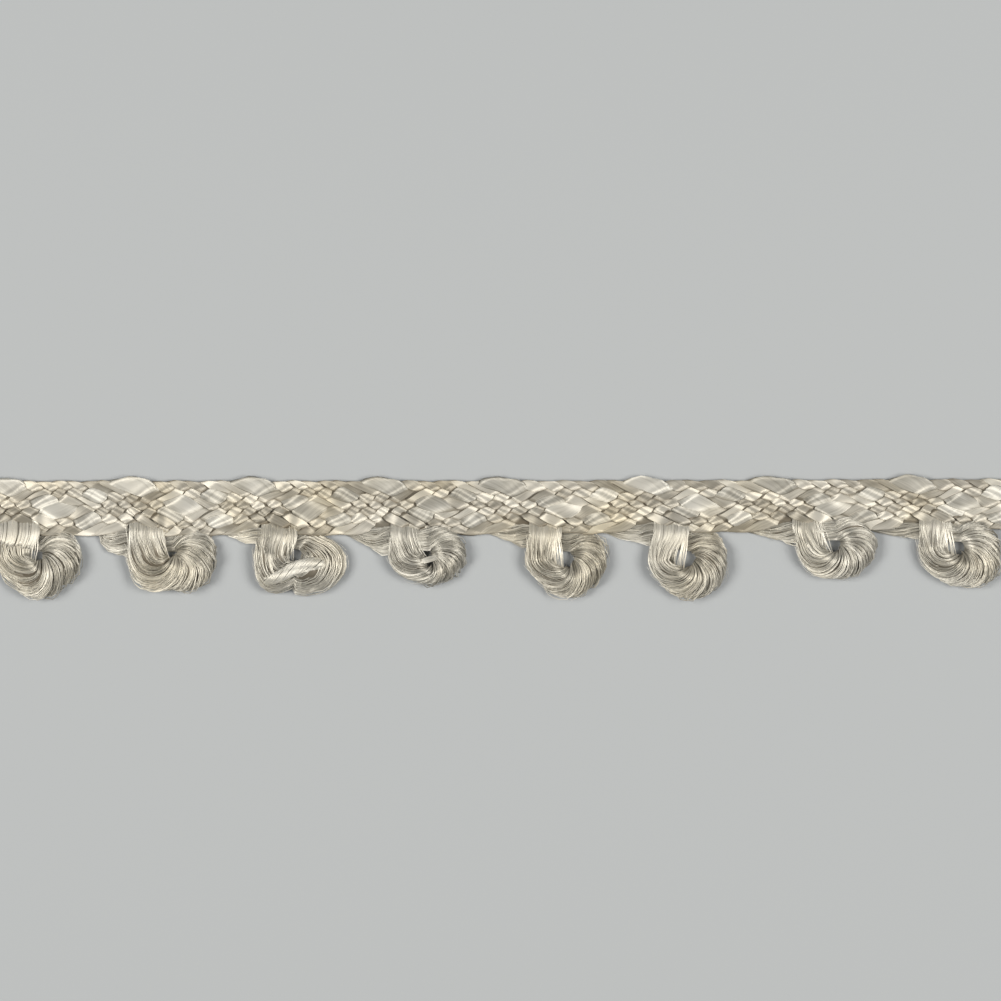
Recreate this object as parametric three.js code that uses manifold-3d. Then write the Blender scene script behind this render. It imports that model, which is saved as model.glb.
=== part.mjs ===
// Looped braid trim: a cut length lying flat, face up.
//
// Thirteen yarns are braided into one flat band. Eleven are flat floss strands. The other two
// are thick soft rovings: each in turn leaves the band at its lower edge, curls clockwise into
// a ring, and comes back up over the lower margin, where it goes under the braid again.
// The band is one solid, with the swellings that the rovings give its edges and its face.
// Each curl is a solid of its own: a ring with a leg that lies over the band's margin.
//
// Millimetres. +X runs along the trim, the loops are on the -Y side, and +Z is up. z = 0 is
// the surface that the trim lies on, and x = y = 0 is the middle of the band.

import * as THREE from "three";
import Module from "manifold-3d";

const wasm = await Module();
wasm.setup();

// Driving dimensions.
const LENGTH = 136.5;
const BAND_THICKNESS = 1.3;
const LOOP_THICKNESS = 2.6;
const LEG_TOP = 3.0;
const PIECE_GAP = 0.3;

// How the two rovings swell the band: a crest where one turns over the upper edge, a ridge
// where one crosses the face, and a sag where one passes behind the lower edge to its loop.
const CREST_HEIGHT = 0.65;
const CREST_HALF_LENGTH = 2.7;
const RIDGE_HEIGHT = 0.3;
const RIDGE_HALF_WIDTH = 1.5;
const SAG_HALF_LENGTH = 3.4;
const SAG_BEFORE_LEG = 1.0;
const STEPS_FROM_CREST_TO_LOOP = 1;

// How finely the solids are faceted.
const BAND_STATIONS = 124;
const SECTION_POINTS = 12;
const RING_STEP_DEG = 15;
const LEG_STATIONS = 6;

// The band's two edges, where no roving swells them: it is a little wider at its left end,
// and its middle climbs slightly to the right.
const BAND = [
  { x: -68.3, upper: 3.30, lower: -3.70 },
  { x: -45.0, upper: 3.35, lower: -3.75 },
  { x: -10.0, upper: 3.35, lower: -3.65 },
  { x: 15.0, upper: 3.40, lower: -3.40 },
  { x: 45.0, upper: 3.50, lower: -3.15 },
  { x: 68.3, upper: 3.60, lower: -2.90 },
];

// The band's cross-section: across runs from the lower edge, 0, to the upper one, 1, and up
// is a share of the thickness. It is flat underneath and rounded at its edges.
const BAND_SECTION = [
  { across: 0.07, up: 0 },
  { across: 0.93, up: 0 },
  { across: 1.00, up: 0.30 },
  { across: 1.00, up: 0.65 },
  { across: 0.94, up: 0.90 },
  { across: 0.78, up: 1.00 },
  { across: 0.61, up: 1.00 },
  { across: 0.39, up: 1.00 },
  { across: 0.22, up: 1.00 },
  { across: 0.06, up: 0.90 },
  { across: 0.00, up: 0.65 },
  { across: 0.00, up: 0.30 },
];

// One row for each loop. crestX is the crest that its leg leads up to. sag is how far the
// roving hangs below the band's edge on its way in. The leg has its middle, its width and the
// height at which it goes under the braid. The hole has its centre and radius. n to w are the
// ring's outer radii about the hole, by compass point, and the ring runs clockwise from n.
const LOOPS = [
  { crestX: -46.4, sag: 1.6, legX: -60.1, legWidth: 4.9, tuckY: -1.9, holeX: -57.9, holeY: -5.9,
    holeR: 0.80, n: 2.1, ne: 4.3, e: 5.2, se: 4.7, s: 5.0, sw: 4.4, w: 5.0 },
  { crestX: -31.4, sag: 2.0, legX: -44.3, legWidth: 4.1, tuckY: -1.9, holeX: -41.2, holeY: -5.7,
    holeR: 0.55, n: 1.9, ne: 4.0, e: 5.3, se: 4.9, s: 4.4, sw: 5.1, w: 5.4 },
  { crestX: -15.1, sag: 0.5, legX: -27.7, legWidth: 4.4, tuckY: -2.5, holeX: -25.6, holeY: -5.8,
    holeR: 0.85, n: 2.0, ne: 4.1, e: 5.5, se: 5.5, s: 3.5, sw: 5.2, w: 5.0 },
  { crestX: -0.2, sag: 2.0, legX: -12.0, legWidth: 3.5, tuckY: -2.3, holeX: -9.1, holeY: -5.8,
    holeR: 0.50, n: 3.1, ne: 3.9, e: 4.5, se: 3.9, s: 3.5, sw: 3.9, w: 4.7 },
  { crestX: 17.8, sag: 1.0, legX: 5.6, legWidth: 4.0, tuckY: -2.1, holeX: 8.2, holeY: -6.4,
    holeR: 1.10, n: 2.9, ne: 4.1, e: 4.9, se: 4.5, s: 4.6, sw: 4.1, w: 4.9 },
  { crestX: 33.6, sag: 1.1, legX: 21.4, legWidth: 4.3, tuckY: -1.8, holeX: 23.2, holeY: -6.4,
    holeR: 1.20, n: 3.0, ne: 4.3, e: 4.9, se: 5.1, s: 4.4, sw: 4.1, w: 4.5 },
  { crestX: 50.9, sag: 0.9, legX: 38.5, legWidth: 3.9, tuckY: -1.5, holeX: 41.7, holeY: -4.6,
    holeR: 0.95, n: 2.8, ne: 4.1, e: 5.2, se: 4.6, s: 4.1, sw: 4.5, w: 4.7 },
  { crestX: 66.6, sag: 0.5, legX: 54.4, legWidth: 4.1, tuckY: -1.2, holeX: 57.1, holeY: -5.0,
    holeR: 1.00, n: 2.5, ne: 3.8, e: 4.8, se: 5.2, s: 4.4, sw: 4.4, w: 4.7 },
];
const FIRST_CREST_X = -62.6;
const COMPASS = ["n", "ne", "e", "se", "s", "sw", "w"];
const COMPASS_STEP_DEG = 45;

// Turns about a hole, clockwise from n. The ring starts under its leg and ends at w.
const RING_START_DEG = -45;
const RING_HALF_WAY_DEG = 180;
const RING_END_DEG = 270;

const FLOSS = new THREE.MeshStandardMaterial({ color: 0xcfc9ba, roughness: 0.5, metalness: 0 });
const ROVING = new THREE.MeshStandardMaterial({ color: 0xd6d0c2, roughness: 0.55, metalness: 0 });

// A smooth hump: 1 at no distance, falling to 0 at the reach.
function hump(distance, reach) {
  if (Math.abs(distance) >= reach) return 0;
  return 0.5 + 0.5 * Math.cos(Math.PI * distance / reach);
}

// One column of the band's table, smoothly between its rows.
function bandColumn(column, x) {
  const last = BAND.length - 2;
  const row = Math.min(last, Math.max(0, BAND.findIndex((entry) => entry.x > x) - 1));
  const share = THREE.MathUtils.smoothstep(x, BAND[row].x, BAND[row + 1].x);
  return THREE.MathUtils.lerp(BAND[row][column], BAND[row + 1][column], share);
}

const CRESTS = [FIRST_CREST_X, ...LOOPS.map((loop) => loop.crestX)];

function upperEdge(x) {
  const swell = CRESTS.reduce((sum, crest) => sum + hump(x - crest, CREST_HALF_LENGTH), 0);
  return bandColumn("upper", x) + CREST_HEIGHT * swell;
}

function sagX(loop) {
  return loop.legX - loop.legWidth / 2 - SAG_BEFORE_LEG;
}

function lowerEdge(x) {
  const swell = LOOPS.reduce((sum, loop) => sum + loop.sag * hump(x - sagX(loop), SAG_HALF_LENGTH), 0);
  return bandColumn("lower", x) - swell;
}

// The straight runs of the rovings over the face: down from a crest to the sag of the next
// loop but one, and up from a leg to its crest.
const RUNS = LOOPS.flatMap((loop, index) => {
  const legTop = new THREE.Vector3(loop.legX, loop.tuckY, 0);
  const crest = new THREE.Vector3(loop.crestX, bandColumn("upper", loop.crestX), 0);
  const up = new THREE.Line3(legTop, crest);
  const fromX = CRESTS[index - STEPS_FROM_CREST_TO_LOOP];
  if (fromX === undefined) return [up];
  const from = new THREE.Vector3(fromX, bandColumn("upper", fromX), 0);
  const to = new THREE.Vector3(sagX(loop), bandColumn("lower", sagX(loop)), 0);
  return [up, new THREE.Line3(from, to)];
});

// How far the rovings lift the face at one place.
function ridge(x, y) {
  const place = new THREE.Vector3(x, y, 0);
  const nearest = new THREE.Vector3();
  const lifts = RUNS.map((run) => {
    run.closestPointToPoint(place, true, nearest);
    return hump(nearest.distanceTo(place), RIDGE_HALF_WIDTH);
  });
  return RIDGE_HEIGHT * Math.max(...lifts);
}

// A closed surface through cross-sections with the same number of points, ends closed flat.
function loft(sections) {
  const around = sections[0].length;
  const points = sections.flat();
  const faces = [];
  for (let section = 0; section + 1 < sections.length; section += 1) {
    for (let point = 0; point < around; point += 1) {
      const a = section * around + point;
      const b = section * around + (point + 1) % around;
      faces.push(a, b, b + around, a, b + around, a + around);
    }
  }
  const end = (sections.length - 1) * around;
  for (let point = 1; point + 1 < around; point += 1) {
    faces.push(0, point + 1, point);
    faces.push(end, end + point, end + point + 1);
  }
  const geometry = new THREE.BufferGeometry().setFromPoints(points);
  geometry.setIndex(faces);
  return geometry;
}

// The band, or the space that it needs when it is grown by a gap on all sides.
function bandGeometry(grow) {
  const sections = [];
  for (let station = 0; station <= BAND_STATIONS; station += 1) {
    const x = THREE.MathUtils.lerp(-LENGTH / 2, LENGTH / 2, station / BAND_STATIONS);
    const low = lowerEdge(x) - grow;
    const high = upperEdge(x) + grow;
    sections.push(BAND_SECTION.map(({ across, up }) => {
      const y = THREE.MathUtils.lerp(low, high, across);
      const lift = up < 1 ? 0 : ridge(x, y);
      const z = up * BAND_THICKNESS + lift + (up < 0.5 ? -grow : grow);
      return new THREE.Vector3(x, y, z);
    }));
  }
  return loft(sections);
}

// The ring's outer radius at a turn clockwise from n, smoothly between the compass columns.
function outerRadius(loop, turn) {
  const place = THREE.MathUtils.clamp(turn / COMPASS_STEP_DEG, 0, COMPASS.length - 1);
  const step = Math.min(Math.floor(place), COMPASS.length - 2);
  const value = (index) => loop[COMPASS[THREE.MathUtils.clamp(index, 0, COMPASS.length - 1)]];
  const [a, b, c, d] = [value(step - 1), value(step), value(step + 1), value(step + 2)];
  const t = place - step;
  const bend = (2 * a - 5 * b + 4 * c - d) * t * t + (3 * b - a - 3 * c + d) * t * t * t;
  return 0.5 * (2 * b + (c - a) * t + bend);
}

// A roving's cross-section between its inner and outer edge: a lens with a flat foot on the
// surface, lower where the roving is drawn narrow.
const LENS_HALF_HEIGHT = 0.54;
const NARROW_TOP = 0.9;
const TOP_PER_WIDTH = 0.9;

function rovingSection(inner, outer, topHeight) {
  const top = Math.min(topHeight, NARROW_TOP + TOP_PER_WIDTH * inner.distanceTo(outer));
  const halfHeight = LENS_HALF_HEIGHT * top;
  const points = [];
  for (let point = 0; point < SECTION_POINTS; point += 1) {
    const angle = 2 * Math.PI * point / SECTION_POINTS;
    const place = new THREE.Vector2().lerpVectors(inner, outer, 0.5 + 0.5 * Math.cos(angle));
    const z = Math.max(0, top - halfHeight + halfHeight * Math.sin(angle));
    points.push(new THREE.Vector3(place.x, place.y, z));
  }
  return points;
}

// The part of a ring between two turns, clockwise from n.
function ringSections(loop, from, to) {
  const centre = new THREE.Vector2(loop.holeX, loop.holeY);
  const sections = [];
  for (let turn = from; turn <= to; turn += RING_STEP_DEG) {
    const angle = THREE.MathUtils.degToRad(90 - turn);
    const outwards = new THREE.Vector2(Math.cos(angle), Math.sin(angle));
    const inner = centre.clone().addScaledVector(outwards, loop.holeR);
    const outer = centre.clone().addScaledVector(outwards, outerRadius(loop, turn));
    sections.push(rovingSection(inner, outer, LOOP_THICKNESS));
  }
  return sections;
}

// The leg, straight up from the ring's left side to where it goes under the braid. Its last
// stretch narrows to a rounded end.
const SETTLED_SHARE = 0.7;
const NOSE_START = 0.8;
const NOSE_NARROWING = 0.25;
const NOSE_DROP = 0.5;

function legSections(loop) {
  const sections = [];
  for (let station = 1; station <= LEG_STATIONS; station += 1) {
    const share = station / LEG_STATIONS;
    const settle = THREE.MathUtils.smoothstep(share, 0, SETTLED_SHARE);
    const nose = THREE.MathUtils.smoothstep(share, NOSE_START, 1);
    const halfWidth = loop.legWidth / 2 * (1 - NOSE_NARROWING * nose);
    const right = THREE.MathUtils.lerp(loop.holeX - loop.holeR, loop.legX + halfWidth, settle);
    const left = THREE.MathUtils.lerp(loop.holeX - loop.w, loop.legX - halfWidth, settle);
    const y = THREE.MathUtils.lerp(loop.holeY, loop.tuckY, share);
    const top = THREE.MathUtils.lerp(LOOP_THICKNESS, LEG_TOP, settle) - NOSE_DROP * nose;
    sections.push(rovingSection(new THREE.Vector2(right, y), new THREE.Vector2(left, y), top));
  }
  return sections;
}

function toSolid(geometry) {
  const vertProperties = geometry.attributes.position.array;
  const triVerts = new Uint32Array(geometry.index.array);
  return new wasm.Manifold(new wasm.Mesh({ numProp: 3, vertProperties, triVerts }));
}

function toGeometry(solid) {
  const { numProp, vertProperties, triVerts } = solid.getMesh();
  const geometry = new THREE.BufferGeometry();
  const coordinates = new THREE.InterleavedBuffer(vertProperties, numProp);
  geometry.setAttribute("position", new THREE.InterleavedBufferAttribute(coordinates, 3, 0));
  geometry.setIndex(Array.from(triVerts));
  return geometry;
}

// A loop: the first half of its ring, which starts under the leg, joined to the second half
// with the leg, less the space that the band needs.
function loopGeometry(loop, bandSpace) {
  const start = toSolid(loft(ringSections(loop, RING_START_DEG, RING_HALF_WAY_DEG + RING_STEP_DEG)));
  const rest = [...ringSections(loop, RING_HALF_WAY_DEG, RING_END_DEG), ...legSections(loop)];
  return toGeometry(start.add(toSolid(loft(rest))).subtract(bandSpace));
}

function piece(name, geometry, material) {
  const mesh = new THREE.Mesh(geometry, material);
  mesh.name = name;
  return mesh;
}

const trim = new THREE.Group();
trim.add(piece("band", bandGeometry(0), FLOSS));
const bandSpace = toSolid(bandGeometry(PIECE_GAP));
LOOPS.forEach((loop, index) => {
  trim.add(piece(`loop_${index + 1}`, loopGeometry(loop, bandSpace), ROVING));
});

export default trim;
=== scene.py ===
"""Looks of a looped braid trim: thirteen yarns, braided flat, and eight curls along one edge."""

import bpy
import numpy as np
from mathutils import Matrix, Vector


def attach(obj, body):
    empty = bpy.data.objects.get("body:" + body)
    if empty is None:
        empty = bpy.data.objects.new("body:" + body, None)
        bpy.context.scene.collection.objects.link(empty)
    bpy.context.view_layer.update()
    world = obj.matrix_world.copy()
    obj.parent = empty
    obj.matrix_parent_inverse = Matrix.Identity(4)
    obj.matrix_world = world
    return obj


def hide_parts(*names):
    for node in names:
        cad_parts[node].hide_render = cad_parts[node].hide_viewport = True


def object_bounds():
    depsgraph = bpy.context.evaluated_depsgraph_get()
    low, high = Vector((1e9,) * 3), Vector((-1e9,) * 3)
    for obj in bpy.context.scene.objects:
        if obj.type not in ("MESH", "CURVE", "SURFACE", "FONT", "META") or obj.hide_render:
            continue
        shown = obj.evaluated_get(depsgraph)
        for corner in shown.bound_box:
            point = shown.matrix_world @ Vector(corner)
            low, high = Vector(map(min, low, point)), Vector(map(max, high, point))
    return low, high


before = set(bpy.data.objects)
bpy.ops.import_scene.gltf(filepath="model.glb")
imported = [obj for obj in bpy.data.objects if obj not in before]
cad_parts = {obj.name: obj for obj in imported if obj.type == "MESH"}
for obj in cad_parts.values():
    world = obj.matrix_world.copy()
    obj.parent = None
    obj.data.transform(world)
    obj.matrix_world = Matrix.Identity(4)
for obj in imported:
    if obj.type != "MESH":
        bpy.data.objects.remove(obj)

CAD_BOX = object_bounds()
MM = 0.001

# ---------------------------------------------------------------------------------------------
# The view. The trim lies face up on a pale table, and a long lens looks straight down on it.
# It takes in a little less than the trim's length, so both cut ends lie outside it.
# ---------------------------------------------------------------------------------------------

VIEW_WIDTH = 125.1 * MM
VIEW_CENTRE_Y = 0.94 * MM
CAMERA_HEIGHT = 1.0
FACE_HEIGHT = 1.5 * MM
CLIP_START = 0.05
SENSOR_MM = 36.0

lens = bpy.data.cameras.new("view")
lens.sensor_width = SENSOR_MM
lens.lens = SENSOR_MM * (CAMERA_HEIGHT - FACE_HEIGHT) / VIEW_WIDTH
lens.clip_start = CLIP_START
camera = bpy.data.objects.new("view", lens)
camera.location = (0.0, VIEW_CENTRE_Y, CAMERA_HEIGHT)
bpy.context.collection.objects.link(camera)
bpy.context.scene.camera = camera

# ---------------------------------------------------------------------------------------------
# The ground braid: eleven flat floss yarns of viscose, plaited with two thick rovings, over two
# and under two, so closely that no gap shows. Each runs slanting from edge to edge and turns
# over it. The yarns are cut at both ends of the trim, and ride up over the legs of the loops.
# ---------------------------------------------------------------------------------------------

# The band's edges between the swellings, and where a roving turns over the upper edge and makes
# a crest, as the CAD source has them.
BAND = {
    "x": [-68.3, -45.0, -10.0, 15.0, 45.0, 68.3],
    "upper": [3.30, 3.35, 3.35, 3.40, 3.50, 3.60],
    "lower": [-3.70, -3.75, -3.65, -3.40, -3.15, -2.90],
}
CREST_X = [-62.6, -46.4, -31.4, -15.1, -0.2, 17.8, 33.6, 50.9, 66.6]
END_MARGIN = 0.02
HALF_LENGTH = CAD_BOX[1].x / MM - END_MARGIN

# A yarn's number says where it turns over the upper edge, and its next turn is numbered 13
# higher. The rovings are 0 and 7. Crests are numbered from the left, and go on past both ends.
YARNS = 13
SECOND_ROVING = 7
CRESTS_PAST_END = 4
ROVING_ALONG_EDGE = 5.0
HALF_YARN = np.array([-0.5, 0.5])


def crest_x(number):
    """A crest's X. Past both ends they go on evenly."""
    last = len(CREST_X) - 1
    even = (CREST_X[-1] - CREST_X[0]) / last
    inside = np.interp(number, np.arange(last + 1), CREST_X)
    return inside + even * (np.minimum(number, 0) + np.maximum(number - last, 0))


def crest_yarn(number):
    """The number of the yarn that makes a crest: the two rovings take turns."""
    return YARNS * (number // 2) + SECOND_ROVING * (number % 2)


crests = np.arange(-CRESTS_PAST_END, len(CREST_X) + CRESTS_PAST_END)[:, None]
KNOT_YARN = (crest_yarn(crests) + HALF_YARN).ravel()
KNOT_X = (crest_x(crests) + ROVING_ALONG_EDGE * HALF_YARN).ravel()
TURN_BLUR = (-0.3, -0.1, 0.1, 0.3)
TURN_SWING, SWING_RATE = 0.04, 2.4


def top_x(yarn):
    """Where a yarn turns over the upper edge. A roving takes 5 mm of it, and the floss yarns in
    between share the rest evenly. It is rounded off by averaging over a little more than half a
    yarn, and a sine of the yarn's number makes it 0.04 mm uneven."""
    even = np.mean([np.interp(yarn + shift, KNOT_YARN, KNOT_X) for shift in TURN_BLUR], axis=0)
    return even + TURN_SWING * np.sin(SWING_RATE * yarn)


def crossing(down, up):
    """Where the yarn that left the upper edge as number `down` meets the one that reaches it as
    number `up`: halfway between the two along X, and as deep as they are far apart, as a share of
    the way to the same yarn's next turn."""
    left, right = top_x(down), top_x(up)
    period = (top_x(down + YARNS) - left + right - top_x(up - YARNS)) / 2
    return (left + right) / 2, (right - left) / period, period


def edge(column, x):
    """The band's upper or lower edge at x, straight between its rows."""
    return np.interp(x, BAND["x"], BAND[column])


def unit(vectors):
    """Vectors scaled to length 1."""
    return vectors / np.linalg.norm(vectors, axis=-1, keepdims=True)


def bell(value, centre, reach):
    """A bell curve: 1 at the centre, and 1 / e at the reach on either side of it."""
    return np.exp(-((value - centre) / reach) ** 2)


def wander(where, wavelength, rng):
    """A smooth random curve of about unit size: random heights a wavelength apart, joined by
    half cosines."""
    place = (where - np.min(where)) / wavelength
    heights = rng.normal(size=int(np.max(place)) + 3)
    step = np.floor(place).astype(int)
    share = 0.5 - 0.5 * np.cos(np.pi * (place - step))
    return heights[step] * (1 - share) + heights[step + 1] * share


# The middle of a yarn's first float lies 1.5 crossings below the edge.
FIRST_FLOAT = 1.5
FLOAT_FLATNESS = 0.8
SHARPENING = 0.1


def floating(steps, side, front):
    """How far in front of the band's middle a yarn is, from 1 to -1, so many crossings below the
    upper edge: side, which is 1 on the way down and -1 on the way up, times a cosine of the steps
    with a period of four. Next to both edges it is drawn out, so that the yarn turns over them at
    the middle's height. It is moved to the front by a share of what it lacks of a full float, and
    flattened by a hyperbolic tangent."""
    inner = np.clip(steps, FIRST_FLOAT, YARNS - FIRST_FLOAT)
    turn = inner + (steps - inner) / FIRST_FLOAT
    wave = side * np.cos(np.pi / 2 * (turn - FIRST_FLOAT))
    return np.tanh(FLOAT_FLATNESS * (wave + front * (1 - wave * wave))) / np.tanh(FLOAT_FLATNESS)


def lean(row):
    """How far the crossings of a row stand aside of their even places: a rounded zigzag with a
    period of four rows, which is a sine less a tenth of its third harmonic, 0 at both edges."""
    turn = np.pi / 2 * (np.clip(row, 0, YARNS) - FIRST_FLOAT)
    zigzag = (1 - SHARPENING) * np.sin(turn) - SHARPENING * np.sin(3 * turn)
    return zigzag + (1 - 2 * SHARPENING) * np.sqrt(0.5)


# The shape of the floats: how much their crossings lean, how much narrower than the yarns'
# spacing they are, and how much they are tilted, on the way down and, as a share, on the way up.
SHEAR = 0.17
NARROWING = 0.4
TILT, RISING_TILT = 0.18, 0.3

# Where the yarns lie: how near an edge they fold over it, in crossings, how round the edge is,
# how deep a crest's swelling reaches, and a sine that sways the rows.
FOLD_REACH = 0.9
EDGE_ROUNDING = 0.15
CREST_DEPTH = 0.9
SWAY, SWAY_ALONG, SWAY_ACROSS = 0.08, 1.3, 1.1
BAND_MIDDLE_Z = 0.72
FLOSS_THICKNESS = 0.30


def yarn_sheet(number, steps, aside, kind):
    """Points of a yarn's middle sheet, so many crossings past the upper edge and so many yarn
    widths aside. A yarn goes down in the first half of each cycle of 26 crossings and up in the
    second. Floats stand steeper than the yarns run, so the crossings are moved by lean() along X,
    and floats are narrowed. Y is the crossing's depth, rounded off at the upper edge, with the
    kind's crest there, an arch over the yarn's width, and a sine of X and Y. The height is
    floating() times the kind's rise, on what lies under it, and floats are tilted, with their
    left side out."""
    cycle = np.floor(steps / (2 * YARNS))
    within = steps - 2 * YARNS * cycle
    start = number + YARNS * cycle
    falling = within <= YARNS
    down = start + np.maximum(within - YARNS, 0)
    up = start + np.minimum(within, YARNS)
    from_top = up - down
    fold = bell(np.minimum(from_top, YARNS - from_top), 0, FOLD_REACH)
    beside_down = down + aside * np.where(falling, 1, fold)
    beside_up = up + aside * np.where(falling, fold, 1)
    x, share, period = crossing(beside_down, beside_up)
    lift = floating(from_top, np.where(falling, 1.0, -1.0), kind["front"])
    x = x - SHEAR * period / YARNS * (lean(from_top) + NARROWING * aside * lift * (1 - fold))
    high = edge("upper", x) - FLOSS_THICKNESS / 2
    low = edge("lower", x) + FLOSS_THICKNESS / 2
    depth = np.hypot(share * (high - low), EDGE_ROUNDING) - EDGE_ROUNDING
    y = high - depth + kind["crest"] * (1 - (2 * aside) ** 2) * bell(depth, 0, CREST_DEPTH)
    y = y + SWAY * np.sin(SWAY_ALONG * x + SWAY_ACROSS * y)
    tilt = TILT * aside * lift * (1 - fold) * np.where(falling, 1.0, RISING_TILT)
    z = BAND_MIDDLE_Z + kind["rise"] * lift + kind["raised"](x, y, lift, from_top) - tilt
    return np.stack([x, y, z], axis=-1)


def flat(x, y, lift, row):
    """No rise at all: nothing lies under the yarn."""
    return 0.0 * x


def yarn_line(number, steps, kind):
    """The centreline of a kind of yarn, without its crest and its shift to the front."""
    plain = {"rise": kind["rise"], "front": 0.0, "crest": 0.0, "raised": flat}
    return yarn_sheet(number, np.asarray(steps, float), 0.0, plain)


def arc_length(line):
    """Distance along a line of points, from its first."""
    return np.concatenate([[0], np.cumsum(np.linalg.norm(np.diff(line, axis=0), axis=1))])


# How uneven a yarn is: by how much, and over how many millimetres it changes.
UNEVEN = {
    "width": (0.07, 2.5),
    "aside": (0.06, 2.5),
    "thickness": (0.08, 2.0),
    "height": (0.03, 2.4),
    "soil": (0.45, 3.0),
}
FINE_STEP = 0.03
PROBE = 0.02
EDGE_CROWDING = 0.2
SECTION_POWER = 0.8
WIDTH_BETWEEN_FLOATS, WIDER_ON_FLOATS = 0.84, 0.24
LOWEST_Z = 0.02

# The darkening on a yarn's edges and where a float dives under the next yarn, painted shade in
# the crevices and soil together: how much of it, how patchy on the edges, and where on the
# section and at what height of the float it sets in, and over how much it reaches its full
# strength.
EDGE_SHADE_AND_SOIL, EDGE_FROM, EDGE_OVER = 0.74, 0.93, 0.07
DIVE_SHADE_AND_SOIL, DIVE_FROM, DIVE_OVER = 0.60, 0.45, 0.35
PATCHY_MEAN = 0.55


def yarn_tube(number, kind, seed):
    """A closed tube round a yarn's middle sheet, cut off at the trim's ends. It is widest in the
    middle of each float. Its section is a flat oval: the cosine of the angle goes aside, and the
    sine to the power 0.8 stands off the sheet. The points lie closer together at its two edges.
    With it comes its darkening, from 0 to 1, painted shade in the crevices and soil together: on
    both edges, and where a float dives under the next yarn."""
    rng = np.random.default_rng(seed)
    first, last = kind["first"], kind["last"]
    fine = np.linspace(first, last, int((last - first) / FINE_STEP))
    line = yarn_line(number, fine, kind)
    inside = np.abs(line[:, 0]) < HALF_LENGTH
    steps = np.linspace(fine[inside][0], fine[inside][-1], kind["stations"])[:, None]
    along = np.interp(steps[:, 0], fine[inside], arc_length(line[inside]))
    uneven = {what: size * wander(along, wavelength, rng)[:, None]
              for what, (size, wavelength) in UNEVEN.items()}
    angle = 2 * np.pi * np.arange(kind["around"]) / kind["around"]
    angle = angle - EDGE_CROWDING * np.sin(2 * angle)
    wide = np.cos(angle)
    tall = np.sign(np.sin(angle)) * np.abs(np.sin(angle)) ** SECTION_POWER
    from_top = YARNS - np.abs(steps % (2 * YARNS) - YARNS)
    float_share = np.abs(floating(from_top, 1, 0))
    swelling = WIDTH_BETWEEN_FLOATS + WIDER_ON_FLOATS * float_share ** 2
    half = 0.5 * kind["width"] * swelling * (1 + uneven["width"])
    aside = half * wide + uneven["aside"]
    onwards = (yarn_sheet(number, steps + PROBE, aside, kind)
               - yarn_sheet(number, steps - PROBE, aside, kind))
    sideways = (yarn_sheet(number, steps, aside + PROBE, kind)
                - yarn_sheet(number, steps, aside - PROBE, kind))
    normal = unit(np.cross(onwards, sideways))
    thick = kind["thickness"] * (1 + uneven["thickness"])
    grid = yarn_sheet(number, steps, aside, kind) + normal * (thick / 2 * tall)[..., None]
    grid[..., 2] = np.maximum(grid[..., 2] + uneven["height"], LOWEST_Z)
    # Painted shade and soil: darker on both edges, patchily, and where a float dives under the next
    # yarn.
    patchy = np.clip(PATCHY_MEAN + uneven["soil"], 0, 1)
    at_edges = EDGE_SHADE_AND_SOIL * patchy * np.clip((np.abs(wide) - EDGE_FROM) / EDGE_OVER, 0, 1)
    lift = floating(from_top, np.where(steps % (2 * YARNS) <= YARNS, 1, -1), kind["front"])
    diving = DIVE_SHADE_AND_SOIL * np.clip((DIVE_FROM - lift) / DIVE_OVER, 0, 1)
    return grid, np.maximum(at_edges, diving)


def soiled(tones, soil):
    """Tones darkened by their painted shade and soil: with 1 of it, a tone is -1."""
    return tones - (tones + 1) * soil


# A mesh of tubes has two maps: "Fibre", in millimetres along and round each tube, for the fibres'
# pattern and sheen, and "OFBake", in which each tube is laid out as strips of its own. A tube's
# fibres start at a place of their own on the first, and its end faces are small round spots.
FIBRE_START, FIBRE_ASIDE = 31.7, 7.3
STRIP_START, STRIP_MARGIN = 0.012, 0.06
CAP_SPOT = 0.004
CAP_PLACE, CAP_ROOM = 1.5 * CAP_SPOT, 2.2 * CAP_SPOT
CAP_ON_FIBRE = 40


def girth(group):
    """The way round each tube at each of its stations."""
    return np.linalg.norm(group - np.roll(group, -1, axis=2), axis=3).sum(axis=2)


def tube_faces(tubes, stations, around, first):
    """The quads of tubes with so many stations of so many points, and the two end faces of each.
    The first tube starts at point number `first`."""
    tube, station, point = np.ogrid[0:tubes, 0:stations - 1, 0:around]
    here = first + (tube * stations + station) * around
    there = (point + 1) % around
    corners = (here + point, here + there, here + around + there, here + around + point)
    start = first + np.arange(tubes)[:, None] * stations * around
    ring = np.arange(around)[None]
    caps = np.stack([start + ring[:, ::-1], start + (stations - 1) * around + ring], axis=1)
    return np.stack(np.broadcast_arrays(*corners), axis=-1).reshape(-1, 4), caps.reshape(-1, around)


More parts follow.
